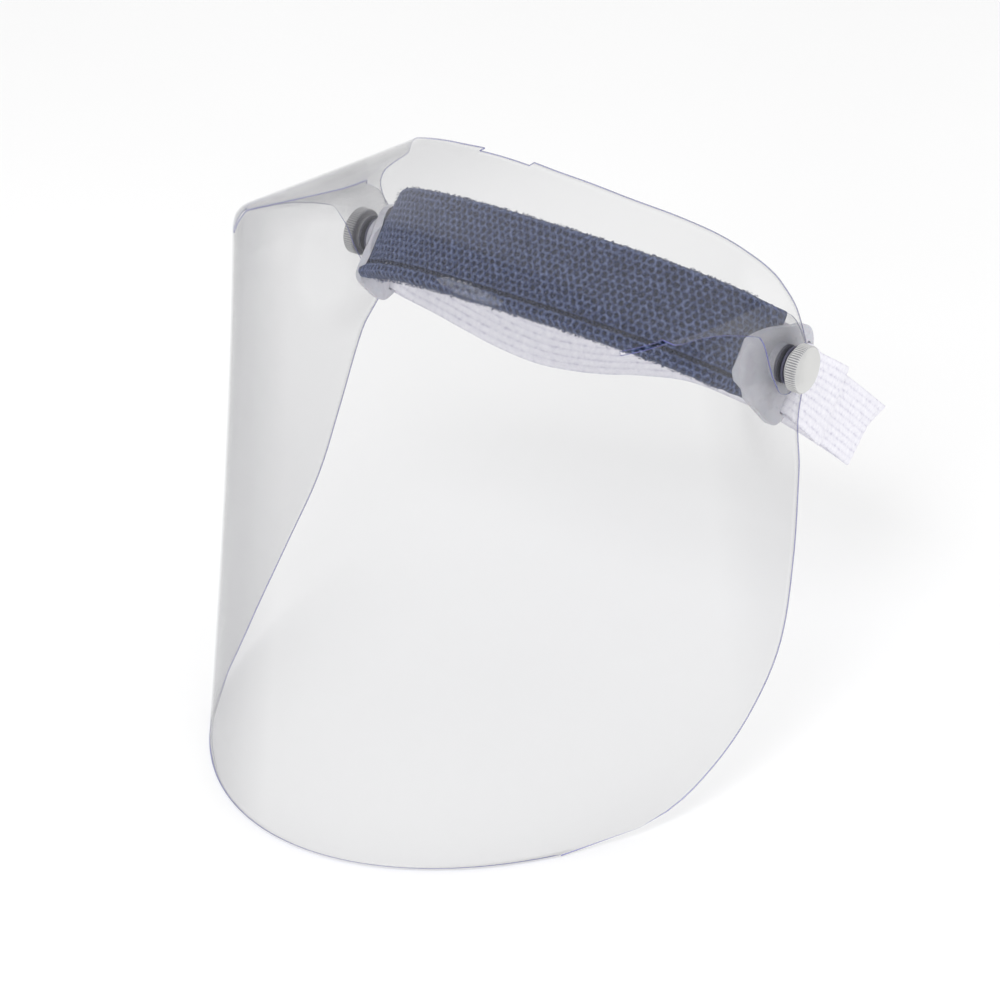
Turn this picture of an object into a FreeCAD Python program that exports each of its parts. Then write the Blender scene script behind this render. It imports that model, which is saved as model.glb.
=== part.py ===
import FreeCAD, Part

import math
import os

# Face shield: a clear one-piece visor that tilts on two temple pivots of a padded headband.
# Millimetres. +Z is up, -Y is the front, +X is the wearer's left.
# The origin is halfway between the two visor pivots, and the pivot axis is the X axis.

Vector = FreeCAD.Vector
X_AXIS = Vector(1, 0, 0)
Z_AXIS = Vector(0, 0, 1)
ORIGIN = Vector(0, 0, 0)

# ---------------------------------------------------------------- driving dimensions
SHEET_T = 0.6             # thickness of the clear sheet
CLEARANCE = 0.2           # gap between neighbours that move past each other

# Stack along the pivot axis, as distances from the middle plane.
PLATE_IN = 89.5           # inner face of the end plate
PLATE_OUT = 91.9          # outer face of the end plate
BOSS_OUT = 93.9           # top of the pivot boss on the end plate
WASHER_T = 0.8            # thickness of the friction washers
PANEL_EAR_OUT = 95.7      # outer face of the lower panel's ear
ROOF_EAR_OUT = 96.6       # outer face of the roof's ear, which laps over the panel's ear
KNOB_BACK = 97.8          # back of the knob's collar
KNOB_RIM_BACK = 99.4      # back of the knob's ribbed rim
KNOB_FACE = 104.0         # outer face of the knob

# Plan curve of the lower panel at the height of the pivots: half an ellipse, then sides that draw in.
PANEL_HALF_WIDTH = 100.9
PANEL_ELLIPSE_DEPTH = 97.0
PANEL_ELLIPSE_Y = -51.2
PANEL_SIDE_DRAW_IN = 0.00225   # per mm of squared distance behind the ellipse's centre
PANEL_REAR_Y = 34.0
# The panel opens out downwards: widths and depths grow in proportion to the drop.
PANEL_WIDTH_APEX = 1164.0
PANEL_DEPTH_APEX = 205.6
PANEL_DEPTH_CENTRE = -108.7
PANEL_BOTTOM = -154.0

# Arch of the roof, in sections across the Y axis: a superellipse that widens to the front.
ARCH_HALF_WIDTH = 97.8
ARCH_HEIGHT = 75.6
ARCH_WIDEN = 0.28
ARCH_RISE = 0.02
ARCH_POWER = 1.78

EAR_FLAT_R = 16.0         # both ears are flat and square to the pivot axis inside this radius
CLAMPED_R = 9.0           # the washers bear on the ears inside this radius
EAR_BLEND = 26.0          # and blend into the sheet over this distance
LAP_GAP = 0.9             # how far the panel's ear lies inside the roof's outer face
SLIT_TIP_Y = -98.0        # where each side slit ends
SLIT_OPEN_Y = -84.0       # behind this the roof laps over the panel
SLIT_Z = 43.0
SLIT_WIDTH = 1.6
EAR_SIDE_X = 40.0         # only the sheet outside this half width is drawn in to the ears
LAP_LENGTH = 10.0         # distance behind the slit's tip in which the panel moves inside the roof
LAP_FROM = (-16.0, -4.0)  # heights between which the lap begins, from below
LAP_TO = (48.0, 64.0)     # and between which it ends
NOTCH_HALF_WIDTH = 11.5   # shallow notch in the middle of the roof's rear edge
NOTCH_DEPTH = 3.5
ROOF_REAR_CENTRE_Y = -44.0    # the roof's rear edge, in the middle
ROOF_REAR_SIDE_Y = 4.0        # and beside the ears

# The shapes that trim the sheet reach this far past it.
CUTTER_X = 150.0
CUTTER_FRONT = -240.0
CUTTER_REAR = 60.0
CUTTER_TOP = 110.0

HEAD_TILT = 40.0          # the headband's plane rises towards the front by this angle
BAND_HALF_WIDTH = 84.0    # middle line of the headband strip, a superellipse
BAND_DEPTH = 37.2
BAND_POWER = 2.35
BAND_FLARE_START = -10.5  # the strip's ends swing out to the end plates behind this place
BAND_FLARE_END = 1.0
STRIP_T = 1.2
STRIP_HEIGHT = 29.0
STRIP_END = 11.0          # how far the strip runs behind the pivot axis
SLEEVE_HEIGHT = 36.2
SLEEVE_FRONT = 1.8        # outer face of the sleeve, in front of the strip's middle line
SLEEVE_BACK = 6.0         # inner face of the sleeve, behind it
SLEEVE_WALL = 1.1
SLEEVE_END = -9.0         # the sleeve stops this far ahead of the pivot axis
PAD_FRONT = 0.7           # front of the foam pad, behind the strip's middle line
PAD_T = 4.0
PAD_HEIGHT = 31.0
PAD_END = -11.0

PLATE_BEND_R = 22.0       # the end plate turns inwards ahead of the pivot, to follow the forehead
PLATE_BEND_Y = -1.0
PLATE_BEND_ANGLE = 46.0
PEG_R = 1.5               # moulded pegs hold each end plate on the strip
PEG_Y = 8.0
PEG_Z = 9.0
PEG_LENGTH = 1.6

STRAP_WIDTH = 28.0
STRAP_T = 1.2
STRAP_MIDDLE_Z = -1.5
STRAP_GAP = 0.3           # room between the strap and the plate's bar
SLOT_FRONT = 14.4         # front of the strap slot in each end plate
SLOT_WIDTH = 3.0
SLOT_HEIGHT = 29.6
SLOT_CORNER_R = 1.0
SEWN_START = ((PLATE_IN + PLATE_OUT) / 2.0, 29.0)   # where the turned-back end meets the strap again
SEWN_LENGTH = 26.0
SEAM_ROWS = (3.0, 5.5, 21.5, 24.0)
FAR_END = (76.0, 55.0)    # the straight run at the right side ends here, measured as on the left
FOLD_X = 86.2             # the strap folds round the back of the head here
FOLD_Y = 96.0
THREAD_R = 0.35

STUD_R = 2.0
STUD_TIP = 89.6
RUNNING_GAP = 0.06        # radial clearance of the stud in the parts that turn on it
WASHER_GAP = 0.08
KNOB_R = 9.25
KNOB_COLLAR_R = 6.6
KNOB_RIBS = 60
KNOB_RIB_DEPTH = 0.3
KNOB_CHAMFER = 0.5
BOSS_R = 7.5
WASHER_R = 7.4
NUT_ACROSS_FLATS = 7.0
NUT_T = 2.2


# ---------------------------------------------------------------- small helpers
def smoothstep(value):
    value = min(1.0, max(0.0, value))
    return value * value * (3.0 - 2.0 * value)


def box(low, high):
    size = high - low
    return Part.makeBox(size.x, size.y, size.z, low)


def polygon(points):
    return Part.makePolygon(points + [points[0]])


def spline_edge(points):
    curve = Part.BSplineCurve()
    curve.interpolate(points)
    return curve.toShape()


def x_cylinder(radius, x_low, x_high, side, y=0.0, z=0.0):
    """A cylinder along X between two distances from the middle plane, on one side of it."""
    length = x_high - x_low
    return Part.makeCylinder(radius, length, Vector(side * x_low, y, z), X_AXIS * side)


def tilt_headgear(shape):
    """Turn a shape from the headband's own level frame into the part's frame."""
    turned = shape.copy()
    turned.rotate(ORIGIN, X_AXIS, -HEAD_TILT)
    return turned


def save(shape, name):
    shape.exportStep("parts/" + name + ".step")
    print(name, shape.isValid(), len(shape.Solids), round(shape.Volume, 1))


# ---------------------------------------------------------------- the clear sheet
def arch_x(y, z):
    """Half width of the roof's outer face at a place, before its ear is flattened."""
    half_width = ARCH_HALF_WIDTH - ARCH_WIDEN * y
    height = ARCH_HEIGHT - ARCH_RISE * y
    share = min(1.0, max(0.0, z) / height)
    return half_width * (1.0 - share ** ARCH_POWER) ** (1.0 / ARCH_POWER)


def flatten_ear(x, y, z, ear_out):
    """Draw a sheet face to a flat disc round the pivot."""
    weight = smoothstep((math.hypot(y, z) - EAR_FLAT_R) / EAR_BLEND)
    return ear_out + (x - ear_out) * weight


def arch_point(angle, y, inset=0.0):
    """Point of the roof's outer face: the angle is 0 at the crown and 90 degrees at pivot height."""
    power = 2.0 / ARCH_POWER
    half_width = ARCH_HALF_WIDTH - ARCH_WIDEN * y - inset
    height = ARCH_HEIGHT - ARCH_RISE * y - inset
    x = half_width * math.sin(abs(angle)) ** power
    z = height * max(0.0, math.cos(angle)) ** power
    return x, z


def roof_grid():
    """Rows from the front to the rear, each from the right ear over the crown to the left ear."""
    crown_steps = 14
    skirt = (-6.0, -12.0, -18.0)
    rows = []
    for row in range(17):
        y = -148.0 + row * 10.5
        half = []
        for step in range(crown_steps + 1):
            x, z = arch_point(math.radians(90.0 * step / crown_steps), y)
            half.append((x, z))
        foot = half[-1][0]
        half += [(foot, z) for z in skirt]
        points = []
        for x, z in half:
            if x > EAR_SIDE_X:
                x = flatten_ear(x, y, z, ROOF_EAR_OUT)
            points.append(Vector(x, y, z))
        mirrored = [Vector(-p.x, p.y, p.z) for p in reversed(points[1:])]
        rows.append(mirrored + points)
    return rows


def panel_ring(inset=0.0):
    """Plan curve of the panel at pivot height, from the front centre to the rear of the left side."""
    ring = []
    half_width = PANEL_HALF_WIDTH - inset
    depth = PANEL_ELLIPSE_DEPTH - inset
    for step in range(11):
        angle = math.radians(9.0 * step)
        ring.append((half_width * math.sin(angle), PANEL_ELLIPSE_Y - depth * math.cos(angle)))
    side_steps = 10
    for step in range(1, side_steps + 1):
        y = PANEL_ELLIPSE_Y + (PANEL_REAR_Y - PANEL_ELLIPSE_Y) * step / side_steps
        ring.append((half_width - PANEL_SIDE_DRAW_IN * (y - PANEL_ELLIPSE_Y) ** 2, y))
    return ring


def panel_place(ring_x, ring_y, z):
    """Where a point of the plan curve lies at another height."""
    x = ring_x * (1.0 - z / PANEL_WIDTH_APEX)
    y = PANEL_DEPTH_CENTRE + (ring_y - PANEL_DEPTH_CENTRE) * (1.0 - z / PANEL_DEPTH_APEX)
    return x, y


def panel_point(ring_x, ring_y, z):
    x, y = panel_place(ring_x, ring_y, z)
    if x > EAR_SIDE_X:
        x = flatten_ear(x, y, z, PANEL_EAR_OUT)
        lap_x = flatten_ear(arch_x(y, z), y, z, ROOF_EAR_OUT) - LAP_GAP
        lapped = smoothstep((y - SLIT_TIP_Y) / LAP_LENGTH)
        lapped *= smoothstep((z - LAP_FROM[0]) / (LAP_FROM[1] - LAP_FROM[0]))
        lapped *= smoothstep((LAP_TO[1] - z) / (LAP_TO[1] - LAP_TO[0]))
        x -= max(0.0, x - lap_x) * lapped
    return Vector(x, y, z)


def panel_grid():
    """Rows from the top down, each from the right rear round the front to the left rear."""
    rows = []
    ring = panel_ring()
    for step in range(33):
        z = 88.0 - 8.0 * step
        points = [panel_point(x, y, z) for x, y in ring]
        mirrored = [Vector(-p.x, p.y, p.z) for p in reversed(points[1:])]
        rows.append(mirrored + points)
    return rows


def offset_grid(rows, distance, inside):
    """A copy of the grid moved by a distance along its normals, towards a point inside."""
    moved = []
    for i, row in enumerate(rows):
        line = []
        for j, point in enumerate(row):
            along = rows[min(i + 1, len(rows) - 1)][j] - rows[max(i - 1, 0)][j]
            across = row[min(j + 1, len(row) - 1)] - row[max(j - 1, 0)]
            normal = along.cross(across).normalize()
            if normal.dot(inside - point) < 0:
                normal = normal * -1
            line.append(point + normal * distance)
        moved.append(line)
    return moved


def surface_through(rows):
    surface = Part.BSplineSurface()
    surface.interpolate(rows)
    return surface


def slab(rows, thickness, inside):
    """A thin closed solid whose outer face runs through the grid."""
    outer = surface_through(rows)
    inner = surface_through(offset_grid(rows, thickness, inside))
    u_low, u_high, v_low, v_high = outer.bounds()
    edges = []
    for surface in (outer, inner):
        u0, u1, v0, v1 = surface.bounds()
        edges.append([surface.uIso(u0), surface.uIso(u1), surface.vIso(v0), surface.vIso(v1)])
    faces = [outer.toShape(), inner.toShape()]
    for outer_edge, inner_edge in zip(edges[0], edges[1]):
        faces.append(Part.makeRuledSurface(outer_edge.toShape(), inner_edge.toShape()))
    shell = Part.makeShell(faces)
    shell.sewShape()
    solid = Part.makeSolid(shell)
    if solid.Volume < 0:
        solid.reverse()
    return solid


def side_prism(outline):
    """A prism right across the part from an outline in the side view."""
    return Part.Face(outline).extrude(X_AXIS * (2.0 * CUTTER_X))


def side_wire(parts):
    """A closed wire in the side view. A part with two points is a line, with more it is a smooth curve."""
    edges = []
    for points in parts:
        vectors = [Vector(-CUTTER_X, y, z) for y, z in points]
        if len(vectors) == 2:
            edges.append(Part.makeLine(vectors[0], vectors[1]))
        else:
            edges.append(spline_edge(vectors))
    return Part.Wire(edges)


def panel_outline():
    """Outline of the lower panel in the side view."""
    upper_edge = [(SLIT_OPEN_Y, 42.6), (-78.0, 41.3), (-61.0, 37.3), (-38.0, 32.7), (-8.0, 27.6)]
    step = [(-8.0, 27.6), (-7.0, 25.0)]
    ear_rear = [(-7.0, 25.0), (1.2, 20.1), (7.0, 13.0), (11.5, 4.5), (13.0, -4.0), (10.7, -15.6)]
    free_edge = [(10.7, -15.6), (0.1, -42.0), (-9.9, -75.0), (-22.3, -104.0), (-43.0, -125.0),
                 (-65.0, -140.0), (-87.0, -149.9), (-112.0, PANEL_BOTTOM)]
    return side_wire([
        [(CUTTER_FRONT, PANEL_BOTTOM), (CUTTER_FRONT, CUTTER_TOP)],
        [(CUTTER_FRONT, CUTTER_TOP), (SLIT_OPEN_Y, CUTTER_TOP)],
        [(SLIT_OPEN_Y, CUTTER_TOP), upper_edge[0]],
        upper_edge,
        step,
        ear_rear,
        free_edge,
        [free_edge[-1], (CUTTER_FRONT, PANEL_BOTTOM)],
    ])


def roof_outline():
    """Outline of the roof in the side view."""
    lower_edge = [(SLIT_OPEN_Y, 41.6), (-77.5, 40.0), (-63.7, 37.0), (-48.9, 32.5), (-23.5, 21.5)]
    ear_front = [(-23.5, 21.5), (-20.7, 17.9), (-16.4, 10.6), (-12.0, 0.0), (-7.5, -8.0), (0.0, -11.9),
                 (8.0, -9.0), (11.8, 0.0), (9.1, 9.5), (5.3, 19.2), (3.6, 28.0), (3.4, 33.5)]
    front_low = 30.0
    rear = (30.0, 40.0)
    return side_wire([
        [(CUTTER_FRONT, CUTTER_TOP), (CUTTER_FRONT, front_low)],
        [(CUTTER_FRONT, front_low), (SLIT_OPEN_Y, front_low)],
        [(SLIT_OPEN_Y, front_low), lower_edge[0]],
        lower_edge,
        ear_front,
        [ear_front[-1], rear],
        [rear, (rear[0], CUTTER_TOP)],
        [(rear[0], CUTTER_TOP), (CUTTER_FRONT, CUTTER_TOP)],
    ])


def roof_rear_cutter():
    """What lies behind the roof's rear edge, seen from above, with the shallow notch at its centre."""
    low_z = 33.0
    curve = [(0.0, ROOF_REAR_CENTRE_Y), (31.0, -38.8), (45.5, -32.0), (59.5, -21.0), (70.5, -9.0),
             (79.6, 0.8), (88.0, 3.5), (94.0, ROOF_REAR_SIDE_Y)]
    left = spline_edge([Vector(x, y, low_z) for x, y in curve])
    right = left.mirror(ORIGIN, X_AXIS)
    foot_x, foot_y = curve[-1]
    outline = [(foot_x, foot_y), (CUTTER_X, foot_y), (CUTTER_X, CUTTER_REAR),
               (-CUTTER_X, CUTTER_REAR), (-CUTTER_X, foot_y), (-foot_x, foot_y)]
    corners = [Vector(x, y, low_z) for x, y in outline]
    lines = [Part.makeLine(a, b) for a, b in zip(corners, corners[1:])]
    wire = Part.Wire(Part.__sortEdges__([left] + lines + [right]))
    behind = Part.Face(wire).extrude(Z_AXIS * CUTTER_TOP)
    notch_low = Vector(-NOTCH_HALF_WIDTH, ROOF_REAR_CENTRE_Y - NOTCH_DEPTH, low_z)
    notch = box(notch_low, Vector(NOTCH_HALF_WIDTH, 0.0, CUTTER_TOP))
    return behind.fuse(notch)


def ruled_bulk(low_points, high_points):
    """A filled solid between two section curves, each closed by its chord."""
    wires = []
    for points in (low_points, high_points):
        wires.append(Part.Wire([spline_edge(points), Part.makeLine(points[-1], points[0])]))
    return Part.makeLoft(wires, True, True)


def panel_bulk():
    """Everything inside the middle of the panel's thickness, near the bend."""
    wires = []
    for z in (20.0, 100.0):
        half = [panel_place(x, y, z) for x, y in panel_ring(SHEET_T / 2.0)[:14]]
        points = [Vector(-x, y, z) for x, y in reversed(half[1:])] + [Vector(x, y, z) for x, y in half]
        wires.append(points)
    return ruled_bulk(wires[0], wires[1])


def roof_bulk():
    """Everything inside the middle of the roof's thickness, near the bend."""
    sections = []
    for y in (-158.0, -80.0):
        half = [arch_point(math.radians(6.0 * step), y, SHEET_T / 2.0) for step in range(15)]
        points = [Vector(-x, y, z) for x, z in reversed(half[1:])] + [Vector(x, y, z) for x, z in half]
        sections.append(points)
    return ruled_bulk(sections[0], sections[1])


def visor_sheet():
    inside = Vector(0, -40, 0)
    bend_low = Vector(-CUTTER_X, -170.0, 20.0)
    panel = slab(panel_grid(), SHEET_T, inside).common(side_prism(panel_outline()))
    roof = slab(roof_grid(), SHEET_T, inside).common(side_prism(roof_outline()))
    roof = roof.cut(roof_rear_cutter())
    front = box(bend_low, Vector(CUTTER_X, SLIT_OPEN_Y, CUTTER_TOP))
    panel = panel.cut(front.cut(roof_bulk()))
    roof = roof.cut(front.cut(panel_bulk()))
    sheet = panel.fuse(roof)
    slot_low = Vector(-CUTTER_X, SLIT_TIP_Y, SLIT_Z - SLIT_WIDTH)
    sheet = sheet.cut(box(slot_low, Vector(CUTTER_X, SLIT_OPEN_Y, SLIT_Z)))
    for side in (-1, 1):
        sheet = sheet.cut(x_cylinder(STUD_R + RUNNING_GAP, PANEL_EAR_OUT - 5.0, ROOF_EAR_OUT + 5.0, side))
        sheet = sheet.cut(x_cylinder(CLAMPED_R, ROOF_EAR_OUT, ROOF_EAR_OUT + 2.0, side))
    return sheet


# ---------------------------------------------------------------- the headband, in its own level frame
def band_half_path(end_y, steps=12):
    """Middle line of the strip from the front centre to a place beside the left temple."""
    last = math.acos(min(1.0, max(0.0, -end_y) / BAND_DEPTH) ** (BAND_POWER / 2.0))
    points = []
    for step in range(steps + 1):
        angle = last * step / steps
        x = BAND_HALF_WIDTH * math.sin(angle) ** (2.0 / BAND_POWER)
        y = -BAND_DEPTH * max(0.0, math.cos(angle)) ** (2.0 / BAND_POWER)
        points.append((x, y))
    while points[-1][1] < end_y - 0.01:
        points.append((BAND_HALF_WIDTH, min(end_y, points[-1][1] + 4.0)))
    reach = PLATE_IN - STRIP_T / 2.0 - BAND_HALF_WIDTH
    flare_length = BAND_FLARE_END - BAND_FLARE_START
    return [(x + reach * smoothstep((y - BAND_FLARE_START) / flare_length), y) for x, y in points]


def offset_path(points, distance):
    """Points moved sideways by a distance, to the left of the direction of travel."""
    moved = []
    for i, point in enumerate(points):
        ahead = points[min(i + 1, len(points) - 1)] - points[max(i - 1, 0)]
        normal = Vector(-ahead.y, ahead.x, 0).normalize()
        moved.append(point + normal * distance)
    return moved


def ribbon(points, out, back, height, middle_z=0.0):
    """A band on edge along a plan path, reaching out to its right and back to its left."""
    right = offset_path(points, -out)
    left = offset_path(points, back)
    wire = Part.Wire([
        spline_edge(right),
        Part.makeLine(right[-1], left[-1]),
        spline_edge(list(reversed(left))),
        Part.makeLine(left[0], right[0]),
    ])
    band = Part.Face(wire).extrude(Z_AXIS * height)
    band.translate(Z_AXIS * (middle_z - height / 2.0))
    return band


def forehead_band(out, back, height, end_y):
    """A band that follows the strip from temple to temple."""
    half = [Vector(x, y, 0) for x, y in band_half_path(end_y)]
    path = [Vector(-p.x, p.y, 0) for p in reversed(half[1:])] + half
    return ribbon(path, out, back, height)


def headband_strip():
    """The strip, trimmed to lie flat inside both end plates, with a hole round each stud."""
    strip = forehead_band(STRIP_T / 2.0, STRIP_T / 2.0, STRIP_HEIGHT, STRIP_END)
    between_plates = box(Vector(-PLATE_IN, -100.0, -50.0), Vector(PLATE_IN, 50.0, 50.0))
    strip = strip.common(between_plates)
    for side in (-1, 1):
        strip = strip.cut(x_cylinder(STUD_R + 1.0, 80.0, 95.0, side))
        for peg_z in (-PEG_Z, PEG_Z):
            peg = x_cylinder(PEG_R, PLATE_IN - 0.3, PLATE_IN + PEG_LENGTH, side, PEG_Y, peg_z)
            strip = strip.fuse(peg)
    return strip


def sweatband_sleeve():
    outer = forehead_band(SLEEVE_FRONT, SLEEVE_BACK, SLEEVE_HEIGHT, SLEEVE_END)
    wall = SLEEVE_WALL
    hollow_height = SLEEVE_HEIGHT - 2.0 * wall
    hollow = forehead_band(SLEEVE_FRONT - wall, SLEEVE_BACK - wall, hollow_height, SLEEVE_END + 3.0)
    return outer.cut(hollow)


def brow_pad():
    return forehead_band(-PAD_FRONT, PAD_FRONT + PAD_T, PAD_HEIGHT, PAD_END)


def plate_outline():
    points = ((-17.0, -6.0), (-14.2, 5.0), (-7.5, 11.0), (0.0, 14.2), (7.0, 17.4), (14.0, 17.6),
              (20.0, 12.5), (21.8, 0.0), (20.6, -14.0), (15.0, -21.0), (6.0, -21.4), (-4.0, -20.0),
              (-12.0, -17.0))
    curve = Part.BSplineCurve()
    curve.interpolate([Vector(0, y, z) for y, z in points], True)
    return Part.Face(Part.Wire(curve.toShape()))


def end_plate():
    """The left end plate."""
    thick = PLATE_OUT - PLATE_IN
    centre_x = PLATE_IN + thick / 2.0 - PLATE_BEND_R
    half_t = thick / 2.0
    straight = box(Vector(PLATE_IN, PLATE_BEND_Y, -25.0), Vector(PLATE_OUT, 25.0, 25.0))
    bend_centre = Vector(centre_x, PLATE_BEND_Y, -25.0)
    ring = Part.makeCylinder(PLATE_BEND_R + half_t, 50.0, bend_centre, Z_AXIS, PLATE_BEND_ANGLE)
    ring = ring.cut(Part.makeCylinder(PLATE_BEND_R - half_t, 50.0, bend_centre, Z_AXIS, PLATE_BEND_ANGLE))
    ring.rotate(bend_centre, Z_AXIS, -PLATE_BEND_ANGLE)
    prism = plate_outline().extrude(X_AXIS * 120.0)
    plate = straight.fuse(ring).removeSplitter().common(prism)
    boss = x_cylinder(BOSS_R, PLATE_OUT - 1.0, BOSS_OUT, 1)
    plate = plate.fuse(boss).removeSplitter()
    slot_low = Vector(PLATE_IN - 1.0, SLOT_FRONT, STRAP_MIDDLE_Z - SLOT_HEIGHT / 2.0)
    slot = box(slot_low, slot_low + Vector(thick + 2.0, SLOT_WIDTH, SLOT_HEIGHT))
    corners = [edge for edge in slot.Edges if abs(edge.tangentAt(edge.FirstParameter).x) > 0.9]
    slot = slot.makeFillet(SLOT_CORNER_R, corners)
    plate = plate.cut(slot)
    plate = plate.cut(x_cylinder(STUD_R + RUNNING_GAP, PLATE_IN - 1.0, BOSS_OUT + 1.0, 1))
    pocket = hexagon(NUT_ACROSS_FLATS).extrude(X_AXIS * (NUT_T + 1.0))
    pocket.translate(X_AXIS * (PLATE_IN - 1.0))
    plate = plate.cut(pocket)
    for peg_z in (-PEG_Z, PEG_Z):
        plate = plate.cut(x_cylinder(PEG_R, PLATE_IN - 1.0, PLATE_IN + PEG_LENGTH, 1, PEG_Y, peg_z))
    return plate


def hexagon(across_flats):
    corner_r = across_flats / 2.0 / math.cos(math.radians(30.0))
    corners = []
    for step in range(6):
        angle = math.radians(60.0 * step)
        corners.append(Vector(0, corner_r * math.cos(angle), corner_r * math.sin(angle)))
    return Part.Face(polygon(corners))


def pivot_nut():
    nut = hexagon(NUT_ACROSS_FLATS).extrude(X_AXIS * NUT_T)
    nut.translate(X_AXIS * PLATE_IN)
    return nut.cut(x_cylinder(STUD_R + RUNNING_GAP, PLATE_IN - 1.0, PLATE_OUT + 1.0, 1))


def washer(x_low):
    ring = x_cylinder(WASHER_R, x_low, x_low + WASHER_T, 1)
    return ring.cut(x_cylinder(STUD_R + WASHER_GAP, x_low - 1.0, x_low + 2.0, 1))


# ---------------------------------------------------------------- the elastic strap, in the band's frame
def flat_band(corners):
    """A band on edge from a plan polygon, as wide as the strap."""
    face = Part.Face(polygon([Vector(x, y, STRAP_MIDDLE_Z - STRAP_WIDTH / 2.0) for x, y in corners]))
    return face.extrude(Z_AXIS * STRAP_WIDTH)


def strap_loop():
    """The left end of the strap: round the plate's rear bar, then doubled and sewn."""
    bar_in = PLATE_IN - STRAP_GAP
    bar_out = PLATE_OUT + STRAP_GAP
    front = SLOT_FRONT + (SLOT_WIDTH - STRAP_T) / 2.0
    middle = (bar_in + bar_out) / 2.0
    outer = flat_band([
        (bar_in - STRAP_T, front), (bar_out + STRAP_T, front), (bar_out + STRAP_T, 22.5),
        (middle + STRAP_T, SEWN_START[1]), (middle - STRAP_T, SEWN_START[1]), (bar_in - STRAP_T, 22.5),
    ])
    opening = flat_band([
        (bar_in, front + STRAP_T), (bar_out, front + STRAP_T), (bar_out, 22.5),
        (middle, SEWN_START[1] - 1.0), (bar_in, 22.5),
    ])
    return outer.cut(opening)


def run_place(start, end, along, out):
    """A plan point at a distance along a straight run and outwards from it, on the left side."""
    way = Vector(end[0] - start[0], end[1] - start[1], 0).normalize()
    return start[0] + way.x * along + way.y * out, start[1] + way.y * along - way.x * out


def strap_run(start, end, length, low, high):
    """A straight run of the strap between two distances out from its line."""
    return flat_band([
        run_place(start, end, 0.0, low), run_place(start, end, length, low),
        run_place(start, end, length, high), run_place(start, end, 0.0, high),
    ])


def strap_end(end):
    """The left end of the strap: the loop round the bar, the sewn layer and the run to a place behind."""
    length = math.hypot(end[0] - SEWN_START[0], end[1] - SEWN_START[1])
    run = strap_run(SEWN_START, end, length, 0.0, STRAP_T)
    sewn_layer = strap_run(SEWN_START, end, SEWN_LENGTH, -STRAP_T, 0.0)
    return strap_loop().fuse(run).fuse(sewn_layer)


def elastic_strap():
    """The whole strap: it is folded sharply behind the left side and runs in a bow to the right side."""
    rear_end = run_place(FAR_END, SEWN_START, 2.0, 0.0)
    corner = flat_band([
        (FOLD_X - 1.0, FOLD_Y - 1.0), (FOLD_X + STRAP_T - 0.1, FOLD_Y - 1.0), (FOLD_X + 1.0, FOLD_Y + 1.0),
        (FOLD_X - 1.0, FOLD_Y + STRAP_T - 0.1),
    ])
    rear = [(FOLD_X, FOLD_Y), (50.0, 98.2), (20.0, 99.8), (-4.0, 99.0), (-30.0, 91.8), (-54.0, 77.5),
            (-68.0, 65.5), (-FAR_END[0], FAR_END[1]), (-rear_end[0], rear_end[1])]
    bow = ribbon([Vector(x, y, 0) for x, y in rear], STRAP_T, 0.0, STRAP_WIDTH, STRAP_MIDDLE_Z)
    strap = strap_end((FOLD_X, FOLD_Y))
    for piece in (corner, bow, strap_end(FAR_END).mirror(ORIGIN, X_AXIS)):
        strap = strap.fuse(piece)
    return strap.removeSplitter()


def strap_stitching(end):
    """Rows of thread across the doubled left end of the strap, proud of its outer face."""
    low_z = STRAP_MIDDLE_Z - STRAP_WIDTH / 2.0 + 2.0
    rows = []
    for along in SEAM_ROWS:
        x, y = run_place(SEWN_START, end, along, STRAP_T + THREAD_R)
        rows.append(Part.makeCylinder(THREAD_R, STRAP_WIDTH - 4.0, Vector(x, y, low_z), Z_AXIS))
    return Part.makeCompound(rows)


# ---------------------------------------------------------------- the knobs
def knob_cap():
    """The left knob: a ribbed rim with a plain collar behind it, and a blind bore for the stud's head."""
    rim = x_cylinder(KNOB_R, KNOB_RIM_BACK, KNOB_FACE, 1)
    rim = rim.makeChamfer(KNOB_CHAMFER, [rim.Edges[0], rim.Edges[2]])
    groove_r = math.pi * KNOB_R / KNOB_RIBS / 2.0
    grooves = []
    for rib in range(KNOB_RIBS):
        angle = 2.0 * math.pi * rib / KNOB_RIBS
        reach = KNOB_R - KNOB_RIB_DEPTH + groove_r
        y = reach * math.cos(angle)
        z = reach * math.sin(angle)
        grooves.append(x_cylinder(groove_r, KNOB_RIM_BACK - 1.0, KNOB_FACE + 1.0, 1, y, z))
    rim = rim.cut(Part.makeCompound(grooves))
    collar = x_cylinder(KNOB_COLLAR_R, KNOB_BACK, KNOB_RIM_BACK, 1)
    knob = rim.fuse(collar)
    return knob.cut(x_cylinder(STUD_R, KNOB_BACK - 1.0, KNOB_FACE - 2.0, 1))


def knob_stud():
    return x_cylinder(STUD_R, STUD_TIP, KNOB_FACE - 2.0, 1)


# ---------------------------------------------------------------- every part
def both_sides(shape, name, tilted=False):
    if tilted:
        shape = tilt_headgear(shape)
    save(shape, name + "_left")
    save(shape.mirror(ORIGIN, X_AXIS), name + "_right")


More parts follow.
